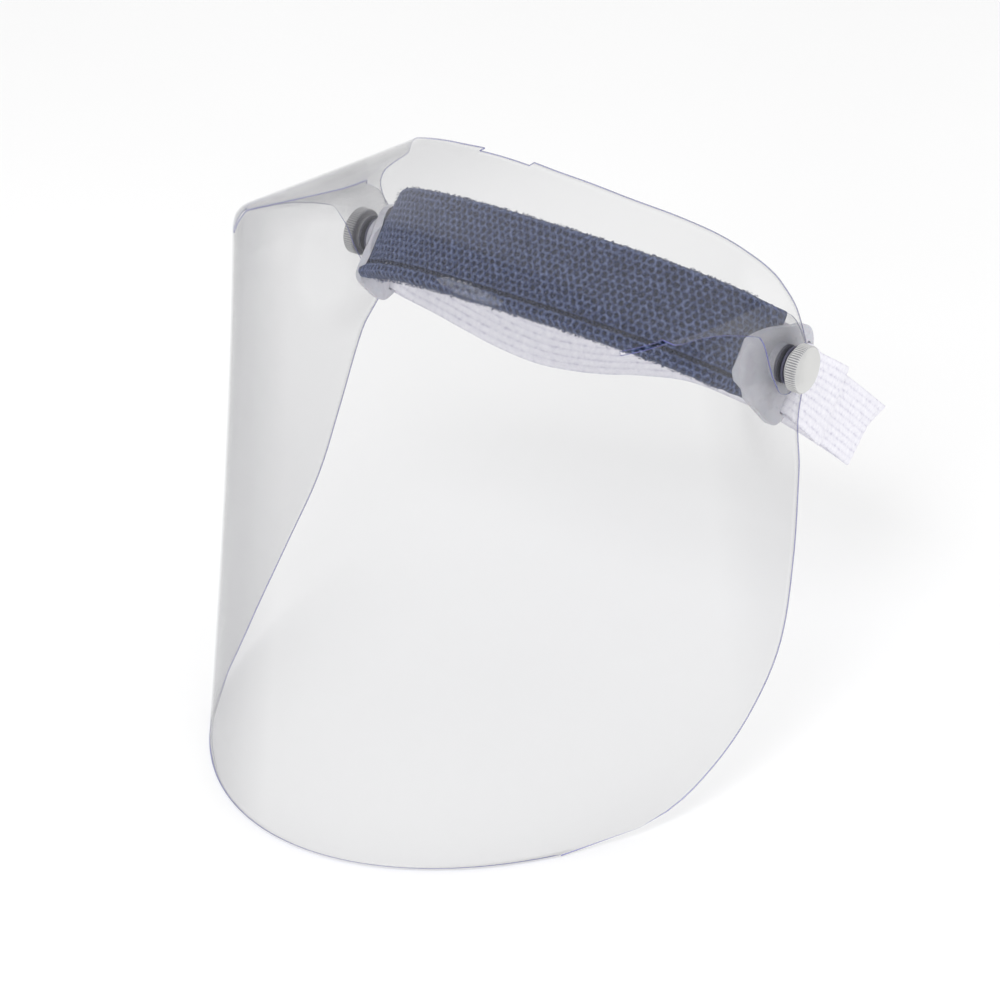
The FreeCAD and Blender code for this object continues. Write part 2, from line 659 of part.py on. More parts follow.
if __name__ == "__main__":
    os.makedirs("parts", exist_ok=True)
    save(visor_sheet(), "visor_sheet")
    save(tilt_headgear(headband_strip()), "headband_strip")
    save(tilt_headgear(sweatband_sleeve()), "sweatband_sleeve")
    save(tilt_headgear(brow_pad()), "brow_pad")
    save(tilt_headgear(elastic_strap()), "elastic_strap")
    both_sides(end_plate(), "end_plate", tilted=True)
    both_sides(pivot_nut(), "pivot_nut", tilted=True)
    save(tilt_headgear(strap_stitching((FOLD_X, FOLD_Y))), "strap_stitching_left")
    save(tilt_headgear(strap_stitching(FAR_END).mirror(ORIGIN, X_AXIS)), "strap_stitching_right")
    both_sides(washer(BOSS_OUT + CLEARANCE), "inner_washer")
    both_sides(washer(ROOF_EAR_OUT + CLEARANCE), "outer_washer")
    both_sides(knob_cap(), "knob_cap")
    both_sides(knob_stud(), "knob_stud")
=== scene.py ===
import math
import random

import bpy
from mathutils import Matrix, Vector, noise


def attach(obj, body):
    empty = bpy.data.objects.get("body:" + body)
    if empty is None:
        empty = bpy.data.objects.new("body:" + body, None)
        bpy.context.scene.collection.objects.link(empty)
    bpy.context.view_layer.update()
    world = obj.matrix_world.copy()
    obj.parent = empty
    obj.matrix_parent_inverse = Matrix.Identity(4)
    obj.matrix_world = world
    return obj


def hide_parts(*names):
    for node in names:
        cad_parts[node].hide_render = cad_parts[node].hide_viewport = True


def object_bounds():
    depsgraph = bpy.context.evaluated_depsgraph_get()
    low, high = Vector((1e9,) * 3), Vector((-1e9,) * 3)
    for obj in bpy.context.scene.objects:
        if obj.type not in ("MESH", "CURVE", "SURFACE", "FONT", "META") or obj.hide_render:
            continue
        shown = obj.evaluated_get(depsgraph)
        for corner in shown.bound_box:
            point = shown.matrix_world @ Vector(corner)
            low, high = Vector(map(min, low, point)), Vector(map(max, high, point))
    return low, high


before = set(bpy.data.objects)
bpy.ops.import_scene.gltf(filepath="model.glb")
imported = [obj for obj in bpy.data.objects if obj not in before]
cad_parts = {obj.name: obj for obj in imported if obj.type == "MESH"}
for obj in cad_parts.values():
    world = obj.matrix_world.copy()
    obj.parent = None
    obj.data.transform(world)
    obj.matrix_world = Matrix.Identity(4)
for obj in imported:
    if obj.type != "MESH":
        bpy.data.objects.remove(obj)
cad_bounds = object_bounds()
random.seed(7)
noise.seed_set(7)         # noise_vector draws its offsets from the clock unless it is seeded

MM = 0.001                # lengths are in mm, as in the CAD part, unless a comment says metres
HEAD_TILT = math.radians(40.0)    # the headband's plane rises towards the front by this angle
KNOB_RIBS = 60.0
KNOB_FACE_R = 0.0086      # metres: the knob is smooth inside this radius and ribbed outside it
RIM_BLEND = 0.0003        # metres


# ---------------------------------------------------------------- small helpers
def smoothstep(value):
    value = min(1.0, max(0.0, value))
    return value * value * (3.0 - 2.0 * value)


def mix(a, b, share):
    return a + (b - a) * share


def table_value(table, place):
    """Smooth value between the rows of a table of (place, value), in rising order of place."""
    if place <= table[0][0]:
        return table[0][1]
    if place >= table[-1][0]:
        return table[-1][1]
    index = 1
    while table[index][0] < place:
        index += 1
    (x0, y0), (x1, y1) = table[index - 1], table[index]
    before = table[max(index - 2, 0)]
    after = table[min(index + 1, len(table) - 1)]
    slope0 = (y1 - before[1]) / max(1e-9, x1 - before[0])
    slope1 = (after[1] - y0) / max(1e-9, after[0] - x0)
    length = x1 - x0
    t = (place - x0) / length
    return ((2 * t ** 3 - 3 * t ** 2 + 1) * y0 + (t ** 3 - 2 * t ** 2 + t) * length * slope0
            + (-2 * t ** 3 + 3 * t ** 2) * y1 + (t ** 3 - t ** 2) * length * slope1)


def line_value(table, place):
    """Value between the rows of a table along straight lines."""
    if place <= table[0][0]:
        return table[0][1]
    for (x0, y0), (x1, y1) in zip(table, table[1:]):
        if place <= x1:
            return mix(y0, y1, (place - x0) / (x1 - x0))
    return table[-1][1]


def curve_point(p0, p1, p2, p3, t):
    """Point at t between p1 and p2 on a smooth line through four points."""
    return 0.5 * ((2 * p1) + (p2 - p0) * t + (2 * p0 - 5 * p1 + 4 * p2 - p3) * t ** 2
                  + (3 * p1 - p0 - 3 * p2 + p3) * t ** 3)


def running_lengths(line):
    """Distance of each point of a line from its start, measured along it."""
    lengths = [0.0]
    for a, b in zip(line, line[1:]):
        lengths.append(lengths[-1] + (b - a).length)
    return lengths


def even_places(line, count):
    """Evenly spaced (place, distance from the start) along a line."""
    lengths = running_lengths(line)
    places = []
    index = 0
    for i in range(count + 1):
        target = lengths[-1] * i / count
        while index < len(line) - 2 and lengths[index + 1] < target:
            index += 1
        share = (target - lengths[index]) / max(1e-9, lengths[index + 1] - lengths[index])
        places.append((line[index].lerp(line[index + 1], min(1.0, max(0.0, share))), target))
    return places


def wrap_rings(faces, start, rings, size):
    """Faces along a tube whose rings of equal size follow each other from vertex start on."""
    for a in range(start, start + (rings - 1) * size, size):
        b = a + size
        for k in range(size):
            n = (k + 1) % size
            faces.append([a + k, a + n, b + n, b + k])


def from_band(x, back, up):
    """A place in the headband's own level frame, in mm, as a point of the row frame in metres."""
    y = back * math.cos(HEAD_TILT) + up * math.sin(HEAD_TILT)
    z = -back * math.sin(HEAD_TILT) + up * math.cos(HEAD_TILT)
    return Vector((x, y, z)) * MM


def solve(function, low, high, steps=40):
    """Place between low and high where a function that changes sign is nought."""
    low_value = function(low)
    for _ in range(steps):
        middle = (low + high) / 2.0
        value = function(middle)
        if (value > 0) == (low_value > 0):
            low = middle
        else:
            high = middle
    return (low + high) / 2.0


def new_object(name, vertices, faces, material, smooth=True):
    mesh = bpy.data.meshes.new(name)
    mesh.from_pydata([tuple(v) for v in vertices], [], faces)
    mesh.validate()
    mesh.update()
    for polygon in mesh.polygons:
        polygon.use_smooth = smooth
    mesh.materials.append(material)
    obj = bpy.data.objects.new(name, mesh)
    bpy.context.scene.collection.objects.link(obj)
    return obj


def paint(obj, name, values):
    """Store one number for each point of a piece, for its material to use."""
    attribute = obj.data.attributes.new(name, "FLOAT", "POINT")
    attribute.data.foreach_set("value", values)


# ---------------------------------------------------------------- materials
class Shader:
    """A material with one Principled shader and short ways to add nodes to it."""

    def __init__(self, name, **values):
        self.material = bpy.data.materials.new(name)
        self.material.use_nodes = True
        self.tree = self.material.node_tree
        self.shader = self.tree.nodes["Principled BSDF"]
        for key, value in values.items():
            self.shader.inputs[key.replace("_", " ")].default_value = value
        self.coordinates = self.node("ShaderNodeTexCoord").outputs["Object"]

    def node(self, kind, **settings):
        made = self.tree.nodes.new(kind)
        for key, value in settings.items():
            if key.startswith("in_"):
                made.inputs[key[3:].replace("_", " ")].default_value = value
            else:
                setattr(made, key, value)
        return made

    def link(self, output, target):
        self.tree.links.new(output, target)

    def noise(self, scale, detail=3.0, roughness=0.5, stretch=None):
        source = self.coordinates
        if stretch:
            mapping = self.node("ShaderNodeMapping")
            mapping.inputs["Scale"].default_value = stretch
            self.link(source, mapping.inputs["Vector"])
            source = mapping.outputs["Vector"]
        made = self.node("ShaderNodeTexNoise", in_Scale=scale, in_Detail=detail, in_Roughness=roughness)
        self.link(source, made.inputs["Vector"])
        return made.outputs["Fac"]

    def painted(self, name):
        return self.node("ShaderNodeAttribute", attribute_name=name).outputs["Fac"]

    def add(self, output, other, share):
        """The first output with a share of the second on top."""
        made = self.node("ShaderNodeMath", operation="MULTIPLY_ADD")
        self.link(other, made.inputs[0])
        made.inputs[1].default_value = share
        self.link(output, made.inputs[2])
        return made.outputs["Value"]

    def ramp(self, output, stops):
        made = self.node("ShaderNodeValToRGB")
        elements = made.color_ramp.elements
        while len(elements) < len(stops):
            elements.new(0.5)
        for element, (place, color) in zip(elements, stops):
            element.position = place
            element.color = (*color, 1.0)
        self.link(output, made.inputs["Fac"])
        return made.outputs["Color"]

    def range(self, output, low, high, from_low=0.0, from_high=1.0):
        made = self.node("ShaderNodeMapRange", in_To_Min=low, in_To_Max=high, in_From_Min=from_low,
                         in_From_Max=from_high)
        self.link(output, made.inputs["Value"])
        return made.outputs["Result"]

    def color(self, output, stops):
        self.link(self.ramp(output, stops), self.shader.inputs["Base Color"])

    def rough(self, output, low, high):
        self.link(self.range(output, low, high, 0.3, 0.7), self.shader.inputs["Roughness"])

    def bump(self, output, strength, distance):
        made = self.node("ShaderNodeBump", in_Strength=strength, in_Distance=distance)
        self.link(output, made.inputs["Height"])
        self.link(made.outputs["Normal"], self.shader.inputs["Normal"])


def clear_sheet_material():
    made = Shader("clear_sheet", Specular_IOR_Level=1.0)
    made.material.surface_render_method = "BLENDED"
    made.color(made.noise(9.0), [(0.3, (0.20, 0.20, 0.225)), (0.7, (0.23, 0.23, 0.25))])
    made.rough(made.noise(30.0, 4.0), 0.03, 0.07)
    facing = made.node("ShaderNodeLayerWeight", in_Blend=0.35).outputs["Facing"]
    made.link(made.range(facing, 0.085, 0.45, 0.30, 1.0), made.shader.inputs["Alpha"])
    return made.material


def sheet_edge_material():
    made = Shader("sheet_edge", Roughness=0.25, Alpha=0.7)
    made.material.surface_render_method = "BLENDED"
    made.color(made.noise(60.0), [(0.3, (0.13, 0.14, 0.48)), (0.7, (0.19, 0.20, 0.56))])
    return made.material


def towelling_material():
    made = Shader("towelling", Roughness=0.95, Sheen_Weight=0.35, Sheen_Roughness=0.6, Specular_IOR_Level=0.1)
    made.shader.inputs["Sheen Tint"].default_value = (0.55, 0.62, 0.85, 1.0)
    # Painted shade: on the sleeve the painted value darkens the honeycomb's cells and the sewn groove. On the
    # loops and stitches it is a plain tone.
    pile_tone_and_shade = made.add(made.noise(800.0, 4.0, 0.7), made.painted("pile_tone_and_shade"), 0.34)
    made.color(pile_tone_and_shade, [(0.36, (0.001, 0.002, 0.009)), (0.54, (0.006, 0.010, 0.034)),
                      (0.72, (0.034, 0.050, 0.125)), (0.92, (0.13, 0.165, 0.30))])
    made.bump(made.noise(1500.0, 3.0, 0.6), 0.8, 0.0006)
    return made.material


def foam_material():
    made = Shader("foam", Roughness=0.95, Specular_IOR_Level=0.1)
    made.color(made.noise(700.0, 4.0), [(0.35, (0.008, 0.009, 0.02)), (0.65, (0.03, 0.035, 0.06))])
    made.bump(made.noise(900.0, 3.0), 0.6, 0.0005)
    return made.material


def elastic_material():
    made = Shader("elastic", Roughness=0.8, Sheen_Weight=0.2, Specular_IOR_Level=0.2)
    # Painted shade: the grooves between the ribs, stored in the groove attribute, are painted darker over a
    # noise tone.
    ribs = made.add(made.noise(500.0, 4.0, 0.65), made.painted("groove"), -0.22)
    made.color(ribs, [(0.05, (0.52, 0.50, 0.62)), (0.35, (0.80, 0.79, 0.86)), (0.65, (0.90, 0.89, 0.94))])
    made.bump(made.noise(1600.0, 2.0), 0.5, 0.0003)
    return made.material


def thread_material():
    made = Shader("thread", Roughness=0.7)
    made.color(made.noise(1500.0, 3.0), [(0.3, (0.60, 0.59, 0.68)), (0.7, (0.80, 0.79, 0.86))])
    return made.material


def plastic_material(name, dark, light, roughness, alpha=1.0, subsurface=0.0):
    made = Shader(name, Alpha=alpha, Subsurface_Weight=subsurface, Subsurface_Scale=0.002)
    made.color(made.noise(45.0, 3.0), [(0.35, dark), (0.65, light)])
    made.rough(made.noise(220.0, 4.0), roughness - 0.05, roughness + 0.06)
    made.bump(made.noise(700.0, 3.0), 0.06, 0.0002)
    if alpha < 1.0:
        made.material.surface_render_method = "BLENDED"
    return made.material


def knob_material():
    """White plastic with painted shade in the grooves of the rim, which lie evenly round the pivot axis."""
    made = Shader("knob_white", Roughness=0.38)
    parts = made.node("ShaderNodeSeparateXYZ")
    made.link(made.coordinates, parts.inputs["Vector"])
    angle = made.node("ShaderNodeMath", operation="ARCTAN2")
    made.link(parts.outputs["Z"], angle.inputs[0])
    made.link(parts.outputs["Y"], angle.inputs[1])
    turned = made.node("ShaderNodeMath", operation="MULTIPLY")
    made.link(angle.outputs["Value"], turned.inputs[0])
    turned.inputs[1].default_value = KNOB_RIBS
    wave = made.node("ShaderNodeMath", operation="COSINE")
    made.link(turned.outputs["Value"], wave.inputs[0])
    flat = made.node("ShaderNodeCombineXYZ")
    made.link(parts.outputs["Y"], flat.inputs["Y"])
    made.link(parts.outputs["Z"], flat.inputs["Z"])
    radius = made.node("ShaderNodeVectorMath", operation="LENGTH")
    made.link(flat.outputs["Vector"], radius.inputs[0])
    rim = made.range(radius.outputs["Value"], 0.0, 1.0, KNOB_FACE_R, KNOB_FACE_R + RIM_BLEND)
    groove = made.node("ShaderNodeMath", operation="MULTIPLY")
    made.link(made.range(wave.outputs["Value"], 0.0, 1.0, -0.2, 0.8), groove.inputs[0])
    made.link(rim, groove.inputs[1])
    # Painted shade in the rim's grooves, over a noise tone.
    shade = made.add(made.noise(45.0), groove.outputs["Value"], -0.6)
    made.color(shade, [(0.0, (0.26, 0.26, 0.28)), (0.42, (0.60, 0.60, 0.59)), (0.62, (0.65, 0.65, 0.64))])
    made.bump(made.noise(700.0), 0.06, 0.0002)
    return made.material


def steel_material():
    made = Shader("steel", Metallic=1.0)
    made.color(made.noise(300.0), [(0.35, (0.50, 0.50, 0.52)), (0.65, (0.62, 0.62, 0.63))])
    made.rough(made.noise(600.0, 3.0), 0.25, 0.4)
    return made.material


def floor_material():
    made = Shader("floor", Roughness=0.6, Specular_IOR_Level=0.25)
    made.color(made.noise(3.0), [(0.3, (0.90, 0.90, 0.90)), (0.7, (0.92, 0.92, 0.92))])
    return made.material


CLEAR = clear_sheet_material()
EDGE = sheet_edge_material()
TOWEL = towelling_material()
FOAM = foam_material()
ELASTIC = elastic_material()
THREAD = thread_material()
KNOB = knob_material()
PLATE = plastic_material("plate_natural", (0.58, 0.58, 0.64), (0.66, 0.66, 0.72), 0.28, 0.84, 0.1)
# The washers are painted near black, and this dark colour also stands in for the shade in the narrow gaps
# beside the knobs.
WASHER_DARK_SHADE = plastic_material("washer_dark_painted_shade", (0.06, 0.06, 0.10), (0.10, 0.10, 0.15), 0.5)
STEEL = steel_material()


# ---------------------------------------------------------------- the clear sheet
SHEET_T = 0.0006          # metres
WELD_DISTANCE = 0.00002   # metres
PANEL_HALF_WIDTH = 100.9
PANEL_DEPTH = 97.0        # of the half ellipse at the front of the panel
PANEL_CENTRE_Y = -51.2
PANEL_DRAW_IN = 0.00225   # per mm of squared distance behind the ellipse's centre
RING_BEHIND = 150.0       # distance behind the ellipse's centre for each unit of t above 1
LAST_T = 1.75
WIDTH_APEX = 1164.0       # the panel narrows towards this height in width
DEPTH_APEX = 205.6        # and towards this one in depth, about DEPTH_CENTRE
DEPTH_CENTRE = -108.7
BOTTOM_Z = -154.0
CORNER_Z = -152.0         # below this the bottom corner turns in to BOTTOM_REAR_Y
BOTTOM_REAR_Y = -126.0
ARCH_HALF_WIDTH = 97.8
ARCH_HEIGHT = 75.6
ARCH_WIDEN = 0.28
ARCH_RISE = 0.02
ARCH_POWER = 1.78
PANEL_EAR = 95.7          # outer faces of the two ears, across from the middle
ROOF_EAR = 96.6
EAR_FLAT_R = 16.0         # both ears are flat inside this radius from the pivot axis
EAR_BLEND = 26.0
EAR_SIDE_X = 40.0         # only the sheet outside this half width is drawn in to the ears
LAP_GAP = 0.9             # how far the panel lies inside the roof's outer face
LAP_LENGTH = 10.0         # distance behind the slit's tip in which the panel moves inside the roof
LAP_FROM = (-16.0, -4.0)  # heights between which the lap begins, from below
LAP_TO = (48.0, 64.0)     # and between which it ends
SLIT_TIP_Y = -98.0
SLIT_LOW = 41.4
SLIT_HIGH = 43.0
SLIT_END_GAP = 0.4        # the roof's last column ends this far above the slit
EAR_TOP_Z = 26.0          # above this the panel's rear edge is the slit's lower edge

# Edges of the sheet in the side view, as (z, y) in mm.
FREE_EDGE = [(-154.0, -112.0), (-149.9, -87.0), (-140.0, -65.0), (-125.0, -43.0), (-104.0, -22.3),
             (-75.0, -9.9), (-42.0, 0.1), (-15.6, 10.7), (-4.0, 13.0), (4.5, 11.5), (13.0, 7.0), (20.1, 1.2),
             (25.0, -7.0)]
PANEL_TOP = [(27.6, -8.0), (32.7, -38.0), (37.3, -61.0), (41.3, -78.0), (42.6, -84.0)]
ROOF_LOW_EDGE = [(-11.9, -0.2), (-11.0, -4.3), (-8.0, -7.5), (0.0, -12.0), (10.6, -16.4), (17.9, -20.7),
                 (21.5, -23.5), (26.8, -35.0), (32.5, -48.9), (37.0, -63.7), (40.0, -77.5)]
ROOF_REAR = [(-11.9, 0.2), (-11.2, 4.0), (-9.0, 8.0), (0.0, 11.8), (9.5, 9.1), (19.2, 5.3), (28.0, 3.4),
             (33.5, 3.4), (39.2, 0.8), (49.3, -8.8), (58.5, -20.5), (66.4, -32.0), (71.6, -38.6),
             (74.5, -42.4), (76.5, -44.0)]
NOTCH_HALF = 11.5         # shallow notch in the middle of the roof's rear edge
NOTCH_SPREAD = 1.18       # the roof is this much wider at the bend than at its rear edge
NOTCH_DEEP = 3.2
CROWN_ROUND = 0.12        # share of the half width over which the crown is rounded
BEND_REACH = 19.0         # the bend between panel and roof begins this far from its line
BEND_LIMIT = 0.85         # or this share of the panel above the slit from it, where that is less

# How finely each part of the sheet is divided.
FRONT_COLUMNS = 34
REAR_COLUMNS = 26
EVEN_ROWS = 44
BEND_ROWS = 20
BACK_STEPS = 34
PAST_COLUMNS = 8          # columns between the slit's tip and the end of the bend
EVEN_ROWS_TOP = -4.0      # the rows up to here are spread by rule, and the ones above by this list
PANEL_ROWS = [-0.5, 3.0, 6.5, 10.0, 13.5, 16.5, 19.5, 22.0, 24.0, 25.2, 27.4, 28.0, 29.0, 30.5, 32.5, 34.5,
              36.5, 38.3, 40.0, SLIT_LOW]
EAR_ROWS = [42.9, 42.3, 41.6, 40.6, 39.4, 38.0, 36.0, 34.0, 32.0, 30.0, 28.0, 26.0, 24.0, 22.4, 21.0, 19.5,
            17.5, 15.0, 12.0, 9.0, 6.0, 3.0, 0.0, -3.0, -6.0, -8.4, -10.2, -11.3, -11.9]


def arch_z(x, y):
    """Height of the roof's outer face, rounded at the crown."""
    half_width = ARCH_HALF_WIDTH - ARCH_WIDEN * y
    height = ARCH_HEIGHT - ARCH_RISE * y
    share = min(1.0, (x / half_width) ** 2)
    rounding = (CROWN_ROUND * (1.0 - share) ** 2) ** 2
    filled = (share + rounding) ** (ARCH_POWER / 2.0) - rounding ** (ARCH_POWER / 2.0)
    return height * max(0.0, 1.0 - filled) ** (1.0 / ARCH_POWER)


def arch_x(y, z):
    """Half width of the roof's outer face at height z."""
    half_width = ARCH_HALF_WIDTH - ARCH_WIDEN * y
    height = ARCH_HEIGHT - ARCH_RISE * y
    share = min(1.0, max(0.0, z) / height)
    return half_width * (1.0 - share ** ARCH_POWER) ** (1.0 / ARCH_POWER)


def flatten_ear(x, y, z, ear):
    """Half width x, drawn to the flat ear near the pivot axis."""
    weight = smoothstep((math.hypot(y, z) - EAR_FLAT_R) / EAR_BLEND)
    return ear + (x - ear) * weight


def ring_place(t):
    """Plan curve of the panel: t is 0 at the front, 1 beside the ellipse's centre and more behind it."""
    if t <= 1.0:
        angle = t * math.pi / 2.0
        return PANEL_HALF_WIDTH * math.sin(angle), PANEL_CENTRE_Y - PANEL_DEPTH * math.cos(angle)
    behind = (t - 1.0) * RING_BEHIND
    return PANEL_HALF_WIDTH - PANEL_DRAW_IN * behind ** 2, PANEL_CENTRE_Y + behind


def panel_plain(t, z):
    """Plan place (x, y) of the panel at height z, before its ear is flattened."""
    x, y = ring_place(t)
    return x * (1.0 - z / WIDTH_APEX), DEPTH_CENTRE + (y - DEPTH_CENTRE) * (1.0 - z / DEPTH_APEX)


def panel_point(t, z):
    x, y = panel_plain(t, z)
    if x > EAR_SIDE_X:
        x = flatten_ear(x, y, z, PANEL_EAR)
        lap_x = flatten_ear(arch_x(y, z), y, z, ROOF_EAR) - LAP_GAP
        lapped = smoothstep((y - SLIT_TIP_Y) / LAP_LENGTH)
        lapped *= (smoothstep((z - LAP_FROM[0]) / (LAP_FROM[1] - LAP_FROM[0]))
                   * smoothstep((LAP_TO[1] - z) / (LAP_TO[1] - LAP_TO[0])))
        x -= max(0.0, x - lap_x) * lapped
    return Vector((x, y, z))


def ring_at(y, z):
    """Place t along the ring where the panel at height z reaches y."""
    return solve(lambda t: panel_plain(t, z)[1] - y, 0.0, LAST_T)


def crease_z(t):
    """Height at which a straight line of the panel meets the roof."""
    def gap(z):
        x, y = panel_plain(t, z)
        return z - arch_z(x, y)
    return solve(gap, 20.0, ARCH_HEIGHT + 8.0)


def roof_point(share, y):
    """Roof's outer face at a share of its half width, from 0 at the crown to 1 at pivot height."""
    x = share * (ARCH_HALF_WIDTH - ARCH_WIDEN * y)
    z = arch_z(x, y)
    if x > EAR_SIDE_X:
        x = flatten_ear(x, y, z, ROOF_EAR)
    return Vector((x, y, z))


def roof_rear(share):
    """Where the roof's rear edge crosses a line of the roof."""
    return solve(lambda y: y - table_value(ROOF_REAR, roof_point(share, y).z), -60.0, 20.0)


def round_bend(line, corner, reach):
    """Spread the corner of a line of places evenly over a smooth curve, as far as reach to each side."""
    lengths = running_lengths(line)
    at_corner = lengths[corner]

    def place(length):
        index = 1
        while index < len(line) - 1 and lengths[index] < length:
            index += 1
        share = (length - lengths[index - 1]) / (lengths[index] - lengths[index - 1])
        return line[index - 1].lerp(line[index], share)

    start, tip, end = place(at_corner - reach), line[corner], place(at_corner + reach)
    rounded = []
    for point, length in zip(line, lengths):
        share = (length - at_corner + reach) / (2.0 * reach)
        if 0.0 < share < 1.0:
            point = start.lerp(tip, share).lerp(tip.lerp(end, share), share)
        rounded.append(point)
    return rounded


def panel_rear(z):
    """Rear edge of the panel at height z."""
    if z < CORNER_Z:
        turned = smoothstep((z - BOTTOM_Z) / (CORNER_Z - BOTTOM_Z)) ** 0.5
        return mix(BOTTOM_REAR_Y, table_value(FREE_EDGE, CORNER_Z), turned)
    return table_value(FREE_EDGE if z <= EAR_TOP_Z else PANEL_TOP, z)


def panel_heights():
    """Heights of the panel's rows, closer together near its bottom edge."""
    heights = []
    for i in range(EVEN_ROWS + 1):
        even = i / EVEN_ROWS
        eased = (1.0 - math.cos(math.pi * even)) / 2.0
        heights.append(mix(BOTTOM_Z, EVEN_ROWS_TOP, mix(even, eased, 0.35)))
    return heights + PANEL_ROWS


def over_the_bend(t, notched):
    """A column of the sheet above the slit: up the panel, round the bend and back along the roof."""
    top = crease_z(t)
    line = [panel_point(t, mix(SLIT_HIGH, top, i / BEND_ROWS)) for i in range(BEND_ROWS)]
    x, y = panel_plain(t, top)
    share = x / (ARCH_HALF_WIDTH - ARCH_WIDEN * y)
    edge_y = roof_rear(share)
    line.append(Vector((x, y, top)))
    for i in range(1, BACK_STEPS + 1):
        line.append(roof_point(share, mix(y, edge_y - NOTCH_DEEP, i / BACK_STEPS)))
    line = round_bend(line, BEND_ROWS, min(BEND_REACH, BEND_LIMIT * (top - SLIT_HIGH)))
    if not notched:
        line.append(roof_point(share, edge_y))
    return line


def ear_row(z, start_y):
    """A row of the roof's ear, from its lower front edge back. It falls as the roof's height does."""
    fall = z * ARCH_RISE / (ARCH_HEIGHT - ARCH_RISE * start_y)
    edge_y = table_value(ROOF_REAR, z + fall * start_y)
    last_step = min(NOTCH_DEEP, 0.1 * (edge_y - start_y))
    places = [mix(start_y, edge_y - last_step, i / BACK_STEPS) for i in range(BACK_STEPS + 1)] + [edge_y]
    row = []
    for y in places:
        height = z - fall * (y - start_y)
        row.append(Vector((flatten_ear(arch_x(y, height), y, height, ROOF_EAR), y, height)))
    return row


def build_visor():
    """The left half of the sheet's outer face, which is then mirrored and given its thickness."""
    vertices = []
    faces = []

    def add(points):
        start = len(vertices)
        vertices.extend(points)
        return list(range(start, len(vertices)))

    def strip(row_a, row_b, upright=False):
        """Faces between two rows that run backwards, or between two columns that run upwards."""
        for k in range(min(len(row_a), len(row_b)) - 1):
            corners = [row_a[k], row_a[k + 1], row_b[k + 1], row_b[k]]
            faces.append(corners[::-1] if upright else corners)

    # One column is moved to the notch's side, so that the notch has a clean step.
    tip_t = ring_at(SLIT_TIP_Y, SLIT_LOW)
    columns = [tip_t * k / FRONT_COLUMNS for k in range(FRONT_COLUMNS + 1)]
    notch_t = solve(lambda t: panel_plain(t, crease_z(t))[0] - NOTCH_HALF * NOTCH_SPREAD, 0.02, 0.4)
    notch_column = min(range(1, FRONT_COLUMNS), key=lambda k: abs(columns[k] - notch_t))
    columns[notch_column] = notch_t

    # Lower panel, rows from the bottom to the slit.
    rows = []
    for z in panel_heights():
        end_t = ring_at(panel_rear(z), z)
        places = [t * min(1.0, end_t / tip_t) for t in columns]
        places += [mix(min(tip_t, end_t), end_t, k / REAR_COLUMNS) for k in range(1, REAR_COLUMNS + 1)]
        rows.append(add([panel_point(t, z) for t in places]))
    for row_a, row_b in zip(rows, rows[1:]):
        strip(row_a, row_b)

    # Above the slit. The columns ahead of its tip stand on the panel's last row, and the others on nothing.
    last_t = solve(lambda t: crease_z(t) - SLIT_HIGH - SLIT_END_GAP, tip_t, 1.0)
    past_tip = [mix(tip_t, last_t, k / PAST_COLUMNS) for k in range(1, PAST_COLUMNS + 1)]
    uprights = [add(over_the_bend(t, k < notch_column)) for k, t in enumerate(columns + past_tip)]
    for k in range(len(uprights) - 1):
        left, right = uprights[k], uprights[k + 1]
        if k < FRONT_COLUMNS:
            left, right = [rows[-1][k]] + left, [rows[-1][k + 1]] + right
        strip(left, right, upright=True)

    # The ear of the roof, from the end of the bend down.
    top = crease_z(last_t)
    low_edge = ROOF_LOW_EDGE + [(top, panel_plain(last_t, top)[1])]
    previous = uprights[-1][BEND_ROWS:]
    for z in EAR_ROWS:
        row = add(ear_row(z, line_value(low_edge, z)))
        strip(previous, row, upright=True)
        previous = row

    obj = new_object("visor_clear_sheet", [v * MM for v in vertices], faces, CLEAR)
    obj.data.materials.append(EDGE)
    mirror = obj.modifiers.new("other_half", "MIRROR")
    mirror.use_clip = True
    mirror.merge_threshold = WELD_DISTANCE
    thick = obj.modifiers.new("thickness", "SOLIDIFY")
    thick.thickness = SHEET_T
    thick.offset = -1.0
    thick.material_offset_rim = 1
    return obj


# ---------------------------------------------------------------- the headband's soft parts
BAND_HALF_WIDTH = 84.0    # middle line of the headband strip, a superellipse
BAND_DEPTH = 37.2
BAND_POWER = 2.35
FLARE_START = -10.5       # its ends swing out to the end plates between these places
FLARE_END = 1.0
FLARE = 4.9
BAND_STEPS = 400
FINE_PATH = 900           # steps along the band for the loops and stitches
SEAM_UP = -12.9           # height of the sewn line over the rolled hem
CELL_PITCH = 3.0          # of the towelling's honeycomb
SLEEVE_MIDDLE = -2.1      # the outer face lies outside this, and the inner face inside it


def band_path(count, end_back):
    """Middle line of the strip from the right temple round the forehead, with normals outwards."""
    last = math.acos((max(0.0, -end_back) / BAND_DEPTH) ** (BAND_POWER / 2.0))
    half = []
    for i in range(BAND_STEPS + 1):
        angle = last * i / BAND_STEPS
        x = BAND_HALF_WIDTH * math.sin(angle) ** (2.0 / BAND_POWER)
        y = -BAND_DEPTH * max(0.0, math.cos(angle)) ** (2.0 / BAND_POWER)
        half.append(Vector((x + FLARE * smoothstep((y - FLARE_START) / (FLARE_END - FLARE_START)), y)))
    line = [Vector((-p.x, p.y)) for p in reversed(half[1:])] + half
    return resample(line, count)


def resample(line, count):
    """Evenly spaced (place, normal to the right, distance) along a plan line."""
    places = even_places(line, count)
    made = []
    for i, (place, distance) in enumerate(places):
        ahead = places[min(i + 1, count)][0] - places[max(i - 1, 0)][0]
        normal = Vector((ahead.y, -ahead.x)).normalized()
        made.append((place, normal, distance))
    return made


